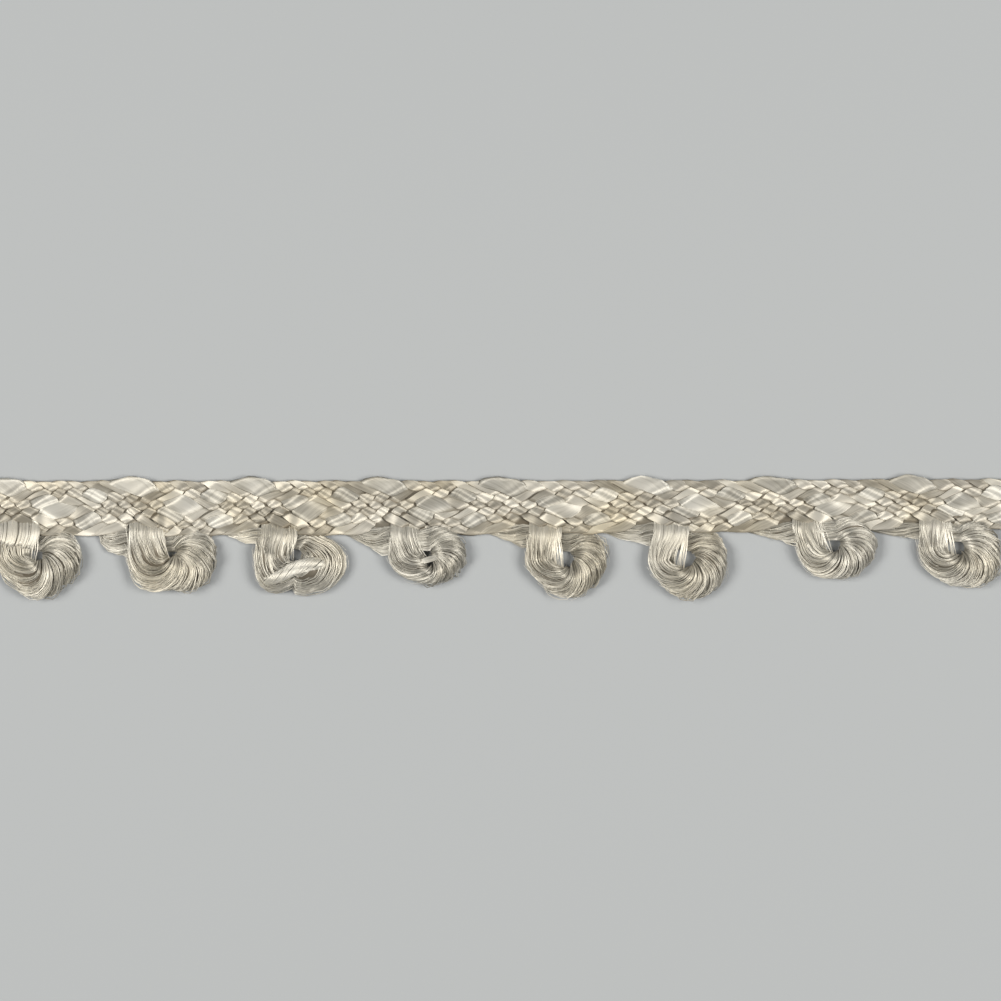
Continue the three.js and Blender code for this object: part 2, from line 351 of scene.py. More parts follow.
def side_maps(group, strips, low, strip_height):
    """The corners of a group's quads on both maps. For the bake each tube is cut into as many
    equal lengths as it has strips, one above the other."""
    tubes, stations, around = group.shape[:3]
    steps = np.linalg.norm(np.diff(group.mean(axis=2), axis=1), axis=2)
    length = np.concatenate([np.zeros((tubes, 1)), np.cumsum(steps, axis=1)], axis=1)
    ring = girth(group).mean(axis=1)[:, None, None]
    tube, station, point = np.ogrid[0:tubes, 0:stations - 1, 0:around]
    per_strip = (stations - 1) / strips
    strip = np.minimum(np.floor(station / per_strip), strips - 1)
    bottom = low + (tube * strips + strip) * strip_height
    fibre, bake = [], []
    for late, turned in ((0, point), (0, point + 1), (1, point + 1), (1, point)):
        along = length[:, late:late + stations - 1, None] + FIBRE_START * tube
        aside = FIBRE_ASIDE * tube + ring * turned / around
        fibre.append(np.stack(np.broadcast_arrays(along, aside), axis=-1))
        share = (station + late - strip * per_strip) / per_strip
        right = STRIP_START + (1 - 2 * STRIP_START) * share
        up = bottom + strip_height * (STRIP_MARGIN + (1 - 2 * STRIP_MARGIN) * turned / around)
        bake.append(np.stack(np.broadcast_arrays(right, up), axis=-1))
    return np.stack(fibre, axis=3).reshape(-1, 2), np.stack(bake, axis=3).reshape(-1, 2)


def end_maps(tubes, around, strips, low, strip_height):
    """The corners of a group's end faces on both maps: spots beside each tube's first strip and
    its last, no higher than a strip."""
    turn = 2 * np.pi * np.arange(around) / around
    spot = CAP_SPOT * np.stack([np.cos(turn), np.sin(turn)], axis=1)
    row = low + (np.arange(tubes) * strips + 0.5) * strip_height
    start = np.stack([np.full(tubes, CAP_PLACE), row], axis=1)
    end = np.stack([np.full(tubes, 1 - CAP_PLACE), row + (strips - 1) * strip_height], axis=1)
    places = np.stack([start, end], axis=1)[:, :, None]
    squeeze = np.array([1.0, min(1.0, strip_height / CAP_ROOM)])
    fibre = np.broadcast_to(spot * CAP_ON_FIBRE, (2 * tubes, around, 2))
    return fibre.reshape(-1, 2), (places + spot * squeeze).reshape(-1, 2)


def join_tubes(name, groups, strips, tones, material, node_names):
    """A piece from groups of like tubes, each an array of tube, station, point round it, XYZ in
    millimetres. Each tube has so many strips on the bake's map. Tones are kept as the attribute
    "tone", for each tube, station or point: from 0 to 1 they grow lighter, and below 0 they are
    darkened by soil and painted shade."""
    heights = [girth(group).mean() * len(group) * strips for group in groups]
    lows = np.concatenate([[0], np.cumsum(heights)]) / sum(heights)
    quads, caps, sides, ends, first = [], [], [], [], 0
    for group, low, high in zip(groups, lows[:-1], lows[1:]):
        tubes, stations, around = group.shape[:3]
        strip_height = (high - low) / (tubes * strips)
        made, closed = tube_faces(tubes, stations, around, first)
        quads.append(made)
        caps.append(closed)
        sides.append(side_maps(group, strips, low, strip_height))
        ends.append(end_maps(tubes, around, strips, low, strip_height))
        first += tubes * stations * around
    mesh = bpy.data.meshes.new(name)
    vertices = np.concatenate([group.reshape(-1, 3) for group in groups]) * MM
    faces = [face for part in quads + caps for face in part.tolist()]
    mesh.from_pydata(vertices.tolist(), [], faces)
    mesh.polygons.foreach_set("use_smooth", np.arange(len(faces)) < sum(map(len, quads)))
    for map_name, parts in zip(("Fibre", "OFBake"), zip(*sides, *ends)):
        corners = np.concatenate(parts).astype(np.float32)
        mesh.uv_layers.new(name=map_name).uv.foreach_set("vector", corners.ravel())
    spread = [np.broadcast_to(tone.reshape(tone.shape + (1,) * (3 - tone.ndim)), group.shape[:3])
              for tone, group in zip(tones, groups)]
    tone = np.concatenate([part.ravel() for part in spread]).astype(np.float32)
    mesh.attributes.new("tone", "FLOAT", "POINT").data.foreach_set("value", tone)
    mesh.materials.append(material)
    mesh.update()
    piece = bpy.data.objects.new(name, mesh)
    bpy.context.collection.objects.link(piece)
    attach(piece, "root")
    if node_names:
        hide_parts(*node_names)
    return piece


def linear(colour):
    """The linear colour, with alpha 1, of an sRGB hex value."""
    parts = np.array([int(colour[i:i + 2], 16) for i in (1, 3, 5)]) / 255
    bright = np.where(parts <= 0.04045, parts / 12.92, ((parts + 0.055) / 1.055) ** 2.4)
    return (*bright.tolist(), 1.0)


def add(tree, kind, inputs, **settings):
    """Adds a node with its settings, and sets or links its inputs."""
    made = tree.nodes.new(kind)
    for name, value in settings.items():
        setattr(made, name, value)
    for name, value in inputs.items():
        if isinstance(value, bpy.types.NodeSocket):
            tree.links.new(value, made.inputs[name])
        else:
            made.inputs[name].default_value = value
    return made


# A bundle of fibres changes along 6 mm. Patches are about 3 mm long and 0.8 mm wide, and faint
# yellowed ones 9 mm across: the first scale is per mm, and the second per metre. Darkest and
# lightest are sums of both noises and the yarn's tone. The filaments' gleam takes the yarn's own
# colour, so the shader is in part metallic.
FIBRE_RUN = 6.25
PATCH_SCALE = (0.35, 1.2, 1.0)
AGE_SCALE, AGE_FROM, AGE_TO = 110.0, 0.45, 0.75
DARKEST, LIGHTEST = 0.9, 1.9
ROUGHNESS_SPREAD = 0.07
GLEAM = 0.55
# The brown that tones below 0 are multiplied by: soil, and painted shade in the crevices and inside
# the loops.
SOIL_AND_SHADE = "#8A7960"


def viscose(name, dark, light, yellowed, fibre_width, fibre_depth, roughness):
    """Bright viscose filament: smooth parallel fibres, each a tiny glass rod, so light runs off
    them in a band square to their length, and a yarn flashes where it tips. Noise drawn out along
    the Fibre map makes the fibres, which are far finer than can be shown, so they are drawn in
    bundles of the given width in mm, two to a wave of the noise. Where the tone is below 0, the
    colour is multiplied by a brown that is soil and painted shade together."""
    material = bpy.data.materials.new(name)
    material.use_nodes = True
    tree = material.node_tree
    tree.nodes.clear()
    place = add(tree, "ShaderNodeUVMap", {}, uv_map="Fibre")
    tone = add(tree, "ShaderNodeAttribute", {}, attribute_name="tone")
    noises = []
    fibre_scale = (1 / FIBRE_RUN, 1 / (2 * fibre_width), 1.0)
    for scale, detail, rough in ((fibre_scale, 3.0, 0.65), (PATCH_SCALE, 1.0, 0.5)):
        drawn = add(tree, "ShaderNodeMapping", {"Vector": place.outputs["UV"], "Scale": scale})
        noise = add(tree, "ShaderNodeTexNoise", {
            "Vector": drawn.outputs["Vector"], "Scale": 1.0, "Detail": detail, "Roughness": rough},
            noise_dimensions="2D")
        noises.append(noise.outputs["Fac"])
    fibres, patches = noises
    both = add(tree, "ShaderNodeMath", {0: fibres, 1: patches}, operation="ADD")
    total = add(tree, "ShaderNodeMath", {
        0: both.outputs[0], 1: tone.outputs["Fac"]}, operation="ADD")
    lightness = add(tree, "ShaderNodeMapRange", {
        "Value": total.outputs[0], "From Min": DARKEST, "From Max": LIGHTEST})
    colour = add(tree, "ShaderNodeMix", {
        0: lightness.outputs["Result"], 6: linear(dark), 7: linear(light)}, data_type="RGBA")
    spot = add(tree, "ShaderNodeTexCoord", {})
    age = add(tree, "ShaderNodeTexNoise", {
        "Vector": spot.outputs["Object"], "Scale": AGE_SCALE, "Detail": 2.0})
    # The yellowed patches are a real stain. The brown below a tone of 0 is soil and painted shade.
    for value, none, full, stain_and_shade in ((age, AGE_FROM, AGE_TO, yellowed), (tone, 0.0, -1.0, SOIL_AND_SHADE)):
        share = add(tree, "ShaderNodeMapRange", {
            "Value": value.outputs["Fac"], "From Min": none, "From Max": full})
        colour = add(tree, "ShaderNodeMix", {
            0: share.outputs["Result"], 6: colour.outputs[2], 7: linear(stain_and_shade)},
            data_type="RGBA", blend_type="MULTIPLY")
    rough = add(tree, "ShaderNodeMapRange", {
        "Value": fibres, "To Min": roughness - ROUGHNESS_SPREAD,
        "To Max": roughness + ROUGHNESS_SPREAD})
    bump = add(tree, "ShaderNodeBump", {
        "Height": fibres, "Strength": 0.6, "Distance": fibre_depth * MM})
    tangent = add(tree, "ShaderNodeTangent", {}, direction_type="UV_MAP", uv_map="Fibre")
    shader = add(tree, "ShaderNodeBsdfPrincipled", {
        "Base Color": colour.outputs[2], "Roughness": rough.outputs["Result"], "IOR": 1.53,
        "Specular IOR Level": 1.0, "Metallic": GLEAM, "Anisotropic": 1.0,
        "Anisotropic Rotation": 0.25, "Normal": bump.outputs["Normal"],
        "Tangent": tangent.outputs["Tangent"]})
    add(tree, "ShaderNodeOutputMaterial", {"Surface": shader.outputs["BSDF"]})
    return material


# Flat floss isn't twisted, so all its fibres lie side by side, and each float shines like satin.
FLOSS = viscose("viscose floss, flat and untwisted", dark="#B4AEA1", light="#FBF6EA",
                yellowed="#FFF9EA", fibre_width=0.09, fibre_depth=0.03, roughness=0.56)

# One row for each loop, as in the CAD source. The leg goes under the braid at tuckY.
COLUMNS = ("sag", "legX", "legWidth", "tuckY", "holeX", "holeY", "holeR",
           "n", "ne", "e", "se", "s", "sw", "w")
LOOP_ROWS = [
    (1.6, -60.1, 4.9, -1.9, -57.9, -5.9, 0.80, 2.1, 4.3, 5.2, 4.7, 5.0, 4.4, 5.0),
    (2.0, -44.3, 4.1, -1.9, -41.2, -5.7, 0.55, 1.9, 4.0, 5.3, 4.9, 4.4, 5.1, 5.4),
    (0.5, -27.7, 4.4, -2.5, -25.6, -5.8, 0.85, 2.0, 4.1, 5.5, 5.5, 3.5, 5.2, 5.0),
    (2.0, -12.0, 3.5, -2.3, -9.1, -5.8, 0.50, 3.1, 3.9, 4.5, 3.9, 3.5, 3.9, 4.7),
    (1.0, 5.6, 4.0, -2.1, 8.2, -6.4, 1.10, 2.9, 4.1, 4.9, 4.5, 4.6, 4.1, 4.9),
    (1.1, 21.4, 4.3, -1.8, 23.2, -6.4, 1.20, 3.0, 4.3, 4.9, 5.1, 4.4, 4.1, 4.5),
    (0.9, 38.5, 3.9, -1.5, 41.7, -4.6, 0.95, 2.8, 4.1, 5.2, 4.6, 4.1, 4.5, 4.7),
    (0.5, 54.4, 4.1, -1.2, 57.1, -5.0, 1.00, 2.5, 3.8, 4.8, 5.2, 4.4, 4.4, 4.7),
]
LOOPS = [dict(zip(COLUMNS, row)) for row in LOOP_ROWS]

# Over a leg: between which rows of crossings the braid climbs and sinks, how high, how far from
# the leg's middle and past its sides, and how far in front a yarn has to be to go over it.
CLIMBING, SINKING = (6.8, 8.8), (10.6, 11.4)
LEG_LIFT = 0.72
LEG_ASIDE, LEG_MARGIN = 0.4, 0.6
IN_FRONT = (-0.7, 0.1)

# Over a ring that starts under the band. The other loops' rings start on the band's margin.
ON_MARGIN = (4, 7, 8)
RING_LIFT = 0.35
RING_ASIDE, RING_HALF_LENGTH, RING_DEPTH = 0.3, 3.2, 1.1


def smooth_step(value, low, high):
    """0 below low, 1 above high, and a smooth cubic between."""
    share = np.clip((value - low) / (high - low), 0, 1)
    return share * share * (3 - 2 * share)


def over_loops(x, y, lift, row):
    """How far the braid rides up. Over a leg only the yarns in front do, around the rows 9 and 10
    and as wide as the leg, falling off along X as the exponential of a fourth power. Over the top
    of a ring that starts under the band both layers do, along the lower edge."""
    total = 0.0
    window = smooth_step(row, *CLIMBING) * (1 - smooth_step(row, *SINKING))
    front = smooth_step(lift, *IN_FRONT)
    for number, loop in enumerate(LOOPS, start=1):
        aside = (x - loop["legX"] - LEG_ASIDE) / (loop["legWidth"] / 2 + LEG_MARGIN)
        total = total + LEG_LIFT * np.exp(-aside ** 4) * window * front
        if number not in ON_MARGIN:
            aside = (x - loop["holeX"] - RING_ASIDE) / RING_HALF_LENGTH
            above = (y - edge("lower", x)) / RING_DEPTH
            total = total + RING_LIFT * np.exp(-aside ** 4 - above ** 2)
    return total


# Widths are shares of the yarns' spacing, and a yarn runs from its first crossing to its last.
FLOSS_YARN = {
    "width": 1.32, "thickness": FLOSS_THICKNESS, "rise": 0.15, "front": 0.0, "crest": 0.10,
    "raised": over_loops, "first": -80.0, "last": 190.0, "stations": 720, "around": 12,
}
FLOSS_STRIPS = 3
FLOSS_TONE_SEED = 5

floss_numbers = [number for number in range(YARNS) if number not in (0, SECOND_ROVING)]
floss_tubes = [yarn_tube(number, FLOSS_YARN, seed=number) for number in floss_numbers]
# The floss is darkened on its edges and where it dives: painted shade in the crevices, and soil.
floss, floss_shade_and_soil = (np.stack(part) for part in zip(*floss_tubes))
floss_tones = np.random.default_rng(FLOSS_TONE_SEED).uniform(0, 1, (len(floss), 1, 1))
ground_braid = join_tubes("ground_braid", [floss], FLOSS_STRIPS, [soiled(floss_tones, floss_shade_and_soil)],
                          FLOSS, ["band"])

# ---------------------------------------------------------------------------------------------
# The rovings inside the band: each thick soft yarn comes out from under the braid above a leg,
# climbs to the upper edge, turns over it, and comes down to where it leaves for the next loop.
# ---------------------------------------------------------------------------------------------

# A roving's fibres are a little coarser and lie less even, so it is paler and less glossy.
ROVING = viscose("viscose roving, soft twist", dark="#ABA79C", light="#FBF8EF",
                 yellowed="#FFFBF2", fibre_width=0.10, fibre_depth=0.04, roughness=0.59)
ROVING_YARN = {
    "width": 1.40, "thickness": 0.56, "rise": 0.30, "front": 0.30, "crest": 0.50,
    "raised": flat, "first": -10.2, "last": 11.3, "stations": 100, "around": 32,
}
ROVING_TONES = (0.3, 0.9)
ROVING_SEED = 100
SHORTEST_PASS = 2

for which, name in enumerate(("roving_a", "roving_b")):
    passes = []
    for crest in range(which - 2, len(CREST_X) + 2, 2):
        yarn = crest_yarn(crest)
        ends = yarn_line(yarn, [ROVING_YARN["first"], ROVING_YARN["last"]], ROVING_YARN)
        if ends[0, 0] < HALF_LENGTH - SHORTEST_PASS and ends[1, 0] > SHORTEST_PASS - HALF_LENGTH:
            passes.append(yarn_tube(yarn, ROVING_YARN, seed=ROVING_SEED + crest))
    # Their edges and dives are darkened as the floss's are: painted shade in the crevices, and
    # soil.
    tubes, soil = (np.stack(part) for part in zip(*passes))
    tones = np.random.default_rng(which).uniform(*ROVING_TONES, (len(tubes), 1, 1))
    join_tubes(name, [tubes], 1, [soiled(tones, soil)], ROVING, [])

# ---------------------------------------------------------------------------------------------
# The loops. Each is the roving itself, out of the braid: it comes out below the band's edge,
# passes behind its own leg, curls clockwise, and goes back up over the margin as the leg. Its
# twist turns the fibres round the ring, and those of the leg lie straight.
# ---------------------------------------------------------------------------------------------

# How the loops differ: the turns of twist, the strands of a cuff round the top of the leg, the
# tufts and how far they stand off, the loose hairs, the strands hanging over the hole, how far the
# hole opens to the south under its bridge, and whether the roving has folded over into a roll.
LOOK_COLUMNS = ("twist", "cuff", "tufts", "tuftHeight", "hairs", "hanging", "south", "roll")
LOOK_ROWS = [
    (1.35, 70, 16, 0.8, 140, 5, 0.0, 0),
    (1.35, 0, 16, 0.7, 130, 3, 0.0, 0),
    (0.35, 0, 16, 0.7, 130, 4, 0.0, 1),
    (1.90, 0, 18, 0.5, 140, 3, 2.6, 0),
    (1.35, 0, 16, 0.7, 130, 10, 0.0, 0),
    (1.35, 0, 16, 0.7, 130, 10, 0.0, 0),
    (1.60, 0, 6, 0.4, 60, 6, 0.0, 0),
    (1.35, 0, 16, 0.8, 140, 8, 0.0, 0),
]
LOOKS = [dict(zip(LOOK_COLUMNS, row)) for row in LOOK_ROWS]

# Where an outline leaves the smooth curve: the compass turn, how far to both sides, and how much.
OUTLINE = {
    2: [(125, 16, 0.5)],
    3: [(66, 18, -0.6), (102, 14, 0.5), (166, 8, 0.7), (226, 14, 0.3)],
}
COMPASS = ("n", "ne", "e", "se", "s", "sw", "w")
COMPASS_STEP = 45


def smooth_rows(rows, place):
    """Rows of numbers read at a fractional row, on the cubic that passes through them with the
    slope of the neighbours' chord."""
    last = len(rows) - 1
    step = np.clip(np.floor(place).astype(int), 0, last - 1)
    t = (place - step)[:, None]
    before, a, b, after = (rows[np.clip(step + k, 0, last)] for k in (-1, 0, 1, 2))
    bend = (2 * before - 5 * a + 4 * b - after) * t ** 2 + (3 * a - before - 3 * b + after) * t ** 3
    return (2 * a + (b - before) * t + bend) / 2


def along_compass(loop, turn):
    """The ring's outer radius at a turn in degrees clockwise from north, on a smooth curve
    through the compass columns."""
    knots = np.array([[loop[point]] for point in COMPASS])
    return smooth_rows(knots, np.clip(turn / COMPASS_STEP, 0, len(COMPASS) - 1))[:, 0]


# The way in: the crossings at which the roving leaves the braid, how much lower than in the braid
# it lies at the first two, how far before the leg it sags, and how wide it is at least there.
LEAVING, LEAVING_LOWER = (10.4, 11.4, 12.4), (0.36, 0.20)
SAG_BEFORE_LEG = 1.0
SAG_WIDTH = 1.3
ROWS_BEFORE_RING = 5

# The ring: its rows by compass turn, its hole as a share of the CAD's, its height and half
# height, the turns over which it rises to them, and those over which the third's roll folds.
RING_TURNS = np.arange(0, 271, 10.0)
HOLE_SHARE = 0.9
RING_Z, RING_HALF_HEIGHT = 1.28, 1.15
RISING_OVER = 70
ROLL_FOLDS, ROLL_FLATNESS = (90, 170), 0.6
WIDER_UP_TO = 40

# How a ring starts: its height and half height, the turn at which it begins to rise, the height
# at which the roving passes behind the leg, and how much wider than the CAD's ring it is.
ON_BAND = {"z": 1.42, "half": 0.76, "turn": -10, "behind": 1.18, "wider": 0.0}
UNDER_BAND = {"z": 0.50, "half": 0.42, "turn": 25, "behind": 0.50, "wider": 0.4}

# Where the hole is opened: at the leg by the strands that hang there, and to the south.
OPEN_AT_LEG, OPEN_SOUTH = (270, 50), (165, 38)
OPEN_PER_STRAND = 0.06

# The twist: the turns before the ring, then, in degrees of the ring, over how many it sets in, from
# where and how it slows, and the span over which a loop's own number of turns is reached.
TWIST_BEFORE_RING = 0.32
TWIST_SETS_IN, TWIST_SLOWS_FROM, TWIST_SLOWING, TWIST_SPAN = 28, 140, 320, 218

# The leg: the share of the way up, the share that it has settled into the leg's own place and
# width, its height, a share of its width, its half height, the turn that its outer side faces,
# and its twist since the ring's end.
LEG_ROWS = [
    (0.30, 0.35, 1.32, 1.00, 0.88, 270, 0.03),
    (0.58, 0.85, 1.34, 1.00, 0.65, 270, 0.05),
    (0.80, 1.00, 1.27, 1.00, 0.52, 271, 0.05),
    (0.98, 1.00, 1.07, 0.99, 0.38, 271, 0.05),
]
ARRIVING = (-9.6, -8.8)
ARRIVED_SHARE = 0.75


def loop_course(loop, look, number):
    """The rows of a loop's course: x, y, z, half width, half height, the compass turn that its
    outer side faces, and how many turns it has been twisted. First come the two where it leaves
    the braid, two for the sag and one behind the leg, then the ring's, midway between its hole and
    its outline, and then the leg's and three for its way under the braid. Along the ring the
    twist sets in as an exponential, and slows down by a square."""
    start = ON_BAND if number in ON_MARGIN else UNDER_BAND
    leave = yarn_line(crest_yarn(number - 2), LEAVING, ROVING_YARN)
    leave[:2, 2] -= LEAVING_LOWER
    leg_x, half_leg, tuck = loop["legX"], loop["legWidth"] / 2, loop["tuckY"]
    sag_x = leg_x - half_leg - SAG_BEFORE_LEG
    sag_y = float(edge("lower", leg_x)) - loop["sag"]
    bulge = (SAG_WIDTH + loop["sag"]) / 2

    opened = 1 + OPEN_PER_STRAND * look["hanging"] * bell(RING_TURNS, *OPEN_AT_LEG)
    opened = opened + look["south"] * bell(RING_TURNS, *OPEN_SOUTH)
    inner = loop["holeR"] * HOLE_SHARE * opened
    outer = along_compass(loop, RING_TURNS)
    outer = outer + start["wider"] * np.clip(1 - RING_TURNS / WIDER_UP_TO, 0, 1)
    for turn, reach, more in OUTLINE.get(number, []):
        outer = outer + more * bell(RING_TURNS, turn, reach)
    angle = np.radians(90 - RING_TURNS)
    middle = (inner + outer) / 2
    risen = smooth_step(RING_TURNS, start["turn"], start["turn"] + RISING_OVER)
    flattened = 1 - ROLL_FLATNESS * look["roll"] * (1 - smooth_step(RING_TURNS, *ROLL_FOLDS))
    twisted = RING_TURNS - TWIST_SETS_IN * (1 - np.exp(-RING_TURNS / TWIST_SETS_IN))
    twisted = twisted - np.maximum(RING_TURNS - TWIST_SLOWS_FROM, 0) ** 2 / TWIST_SLOWING
    ring = np.stack([
        loop["holeX"] + middle * np.cos(angle),
        loop["holeY"] + middle * np.sin(angle),
        start["z"] + (RING_Z - start["z"]) * risen,
        (outer - inner) / 2,
        start["half"] + (RING_HALF_HEIGHT - start["half"]) * risen * flattened,
        RING_TURNS,
        TWIST_BEFORE_RING + look["twist"] * twisted / TWIST_SPAN,
    ], axis=1)
    way_in = [
        (*leave[0], 0.90, 0.22, 23, 0.0),
        (*leave[1], 1.05, 0.30, 26, 0.0),
        (sag_x - 1.6, (leave[2, 1] + sag_y + bulge) / 2, 0.50, (0.9 + bulge) / 2, 0.42, 28, 0.06),
        (sag_x + 0.5, sag_y + bulge, 0.78, bulge, 0.58, -4, 0.20),
        (leg_x + 0.8, (sag_y + bulge + ring[0, 1]) / 2, start["behind"], 1.0, 0.45, -8, 0.30),
    ]

    west_x, west_half, end = ring[-1, 0], ring[-1, 3], ring[-1, 6]
    share, settled, z, narrow, height, facing, more = np.array(LEG_ROWS).T
    leg = np.stack([
        west_x + (leg_x - west_x) * settled,
        loop["holeY"] + (tuck - loop["holeY"]) * share,
        z,
        (west_half + (half_leg - west_half) * settled) * narrow,
        height,
        facing,
        end + more,
    ], axis=1)
    arrive = yarn_line(crest_yarn(number), ARRIVING, ROVING_YARN)
    past_leg = np.array([leg_x + 0.3, tuck + 1.0, 0.7])
    between = arrive[0] * ARRIVED_SHARE + past_leg * (1 - ARRIVED_SHARE)
    way_out = [
        (leg_x + 0.05, tuck + 0.5, 0.86, half_leg * 0.95, 0.29, 274, end + 0.05),
        (*between, 1.25, 0.30, 315, end + 0.05),
        (*arrive[1], 0.95, 0.28, 336, end + 0.05),
    ]
    return np.concatenate([np.array(way_in), ring, leg, np.array(way_out)])


COURSE_PLACES = 600
SQUARING = 0.5


def loop_surface(rows):
    """The course at evenly spaced places: how far along it is, its centre, its outward and its
    upward direction, its half width, its half height and its twist in radians. Also how far
    along each row lies. Outward is level, and half turned square to the course."""
    place = np.linspace(0, len(rows) - 1, COURSE_PLACES)
    fine = smooth_rows(rows, place)
    length = arc_length(fine[:, :3])
    facing = np.radians(90 - fine[:, 5])
    outward = np.stack([np.cos(facing), np.sin(facing), np.zeros(len(fine))], axis=1)
    along = unit(np.gradient(fine[:, :3], axis=0))
    outward = unit(outward - SQUARING * np.sum(outward * along, axis=1, keepdims=True) * along)
    upward = unit(np.cross(along, outward))
    twist = 2 * np.pi * fine[:, 6]
    surface = np.column_stack([length, fine[:, :3], outward, upward, fine[:, 3:5], twist])
    return surface, np.interp(np.arange(len(rows)), place, length)


THINNEST = 0.1


def on_loop(surface, where, start, rise, flat_foot):
    """Lines that run along a loop's surface: from their starting angle, counted from the outer
    side up, they turn back with the twist, and they stand off the surface by their rise, which
    may depend on the angle. They are flattened at the height of their foot. Returned with them
    are the surface's normals."""
    columns = surface[:, 1:].T
    read = np.stack([np.interp(where, surface[:, 0], column) for column in columns], axis=-1)
    centre, outward, upward = read[..., 0:3], read[..., 3:6], read[..., 6:9]
    half_width, half_height, twist = read[..., 9], read[..., 10], read[..., 11]
    around = start - twist
    rise = rise(around) if callable(rise) else rise
    wide = np.maximum(half_width + rise, THINNEST) * np.cos(around)
    tall = np.maximum(half_height + rise, THINNEST) * np.sin(around)
    lines = centre + outward * wide[..., None] + upward * tall[..., None]
    lines[..., 2] = np.maximum(lines[..., 2], flat_foot)
    normals = (outward * (np.cos(around) / half_width)[..., None]
               + upward * (np.sin(around) / half_height)[..., None])
    return lines, normals


def small_tubes(lines, normals, radius, around):
    """Thin round tubes along many lines at once: the normal and its cross product with the
    line's direction span each circle."""
    along = unit(np.gradient(lines, axis=1))
    normals = unit(normals - np.sum(normals * along, axis=2, keepdims=True) * along)
    side = np.cross(along, normals)
    angle = (2 * np.pi * np.arange(around) / around)[None, None, :, None]
    ring = normals[:, :, None] * np.cos(angle) + side[:, :, None] * np.sin(angle)
    return lines[:, :, None] + radius[:, :, None, None] * ring


# The bundles and the locks that they lie in. A lock's bundles are spread by a share of the way to
# the next. How far a lock and a bundle drift aside, in radians, and a lock rises, in mm, and over
# how many mm each changes. Then what share of these, and of the tones, the leg's calm takes away.
BUNDLES, LOCKS = 205, 40
LOCK_SPREAD = 0.36
LOCK_DRIFT, OWN_DRIFT, LOCK_RISE = 0.10, 0.07, 0.15
LOCK_DRIFT_OVER, OWN_DRIFT_OVER, LOCK_RISE_OVER = 4.0, 5.0, 3.5
DEEPEST = 0.50
CALMED_DRIFT, CALMED_RISE, CALMED_DEPTH, CALMED_TONE = 0.75, 0.8, 0.85, 0.8
BUNDLE_RADIUS, RADIUS_UNEVEN = (0.040, 0.090), 0.12
BUNDLE_ROUND = 3
BUNDLE_FOOT = 0.12

# A tuft: its place as a share of the course, its angle, its reach along the course, its height as
# a share, and its reach round. Each bundle takes part by the cube of a random share. One more
# stands off where the roving sags, by its square.
TUFT_PLACE, TUFT_ANGLE = (0.42, 0.72), (-0.6, 0.6)
TUFT_REACH, TUFT_SHARE = (0.9, 1.6), (0.4, 1.0)
TUFT_ROUND = 0.45
SAG_ROW, SAG_TUFT = 3, (np.pi, 2.0, 0.5)


def near_angle(around, centre, reach):
    """A bell curve round an angle."""
    return bell(np.angle(np.exp(1j * (around - centre))), 0, reach)


def fibre_bundles(surface, row_at, where, calm, look, rng):
    """Bundles of fibres side by side along a loop, as far along as `where`. They lie in locks
    that wander together, some are sunk, and some stand off in tufts round the outer side. On the
    leg, where calm is 1, they are evenly spaced and smooth. Returned with them are their locks."""
    end = surface[-1, 0]
    lock = rng.integers(0, LOCKS, BUNDLES)
    spread = 2 * np.pi / LOCKS
    start = lock * spread + rng.normal(0, LOCK_SPREAD * spread, BUNDLES)
    lock_drift = np.stack([wander(where, LOCK_DRIFT_OVER, rng) for _ in range(LOCKS)])[lock]
    own_drift = np.stack([wander(where, OWN_DRIFT_OVER, rng) for _ in range(BUNDLES)])
    lock_rise = np.stack([wander(where, LOCK_RISE_OVER, rng) for _ in range(LOCKS)])[lock]
    even = np.empty(BUNDLES)
    even[np.argsort(start)] = 2 * np.pi * np.arange(BUNDLES) / BUNDLES
    drift = (LOCK_DRIFT * lock_drift + OWN_DRIFT * own_drift) * (1 - CALMED_DRIFT * calm)
    begin = start[:, None] + (even - start)[:, None] * calm + drift
    tufts = [(rng.uniform(*TUFT_PLACE) * end, rng.uniform(*TUFT_ANGLE), rng.uniform(*TUFT_REACH),
              rng.uniform(*TUFT_SHARE) * look["tuftHeight"], rng.uniform(0, 1, (BUNDLES, 1)) ** 3)
             for _ in range(look["tufts"])]
    tufts.append((row_at[SAG_ROW], *SAG_TUFT, rng.uniform(0, 1, (BUNDLES, 1)) ** 2))
    sunk = rng.uniform(0.0, DEEPEST, BUNDLES)[:, None]

    def rise(around):
        """How far each bundle stands off the course's section, in mm."""
        total = LOCK_RISE * lock_rise * (1 - CALMED_RISE * calm) - sunk * (1 - CALMED_DEPTH * calm)
        for place, angle, reach, height, share in tufts:
            near = near_angle(around, angle, TUFT_ROUND)
            total = total + height * share * bell(where, place, reach) * near
        return total

    everywhere = np.broadcast_to(where, begin.shape)
    lines, normals = on_loop(surface, everywhere, begin, rise, BUNDLE_FOOT)
    radius = rng.uniform(*BUNDLE_RADIUS, BUNDLES)[:, None] * (1 + RADIUS_UNEVEN * own_drift)
    return small_tubes(lines, normals, radius, BUNDLE_ROUND), lock


# A hair: its place as a share of the course, its length, its angle to the outer side a little
# further on, how far it curls and stands off, its radius, and how much that tapers.
STRAND_STATIONS, STRAND_ROUND = 12, 4
HAIR_PLACE, HAIR_LENGTH, HAIR_ANGLE, HAIR_AHEAD = (0.30, 0.80), (1.5, 4.5), (-0.9, 1.2), 1.5
HAIR_CURL, HAIR_STAND, HAIR_SUNK = (-0.5, 0.5), (0.10, 0.75), 0.05
HAIR_RADIUS, HAIR_TAPER, HAIR_ROUND = (0.028, 0.045), 0.6, 3
HAIR_FOOT = 0.05


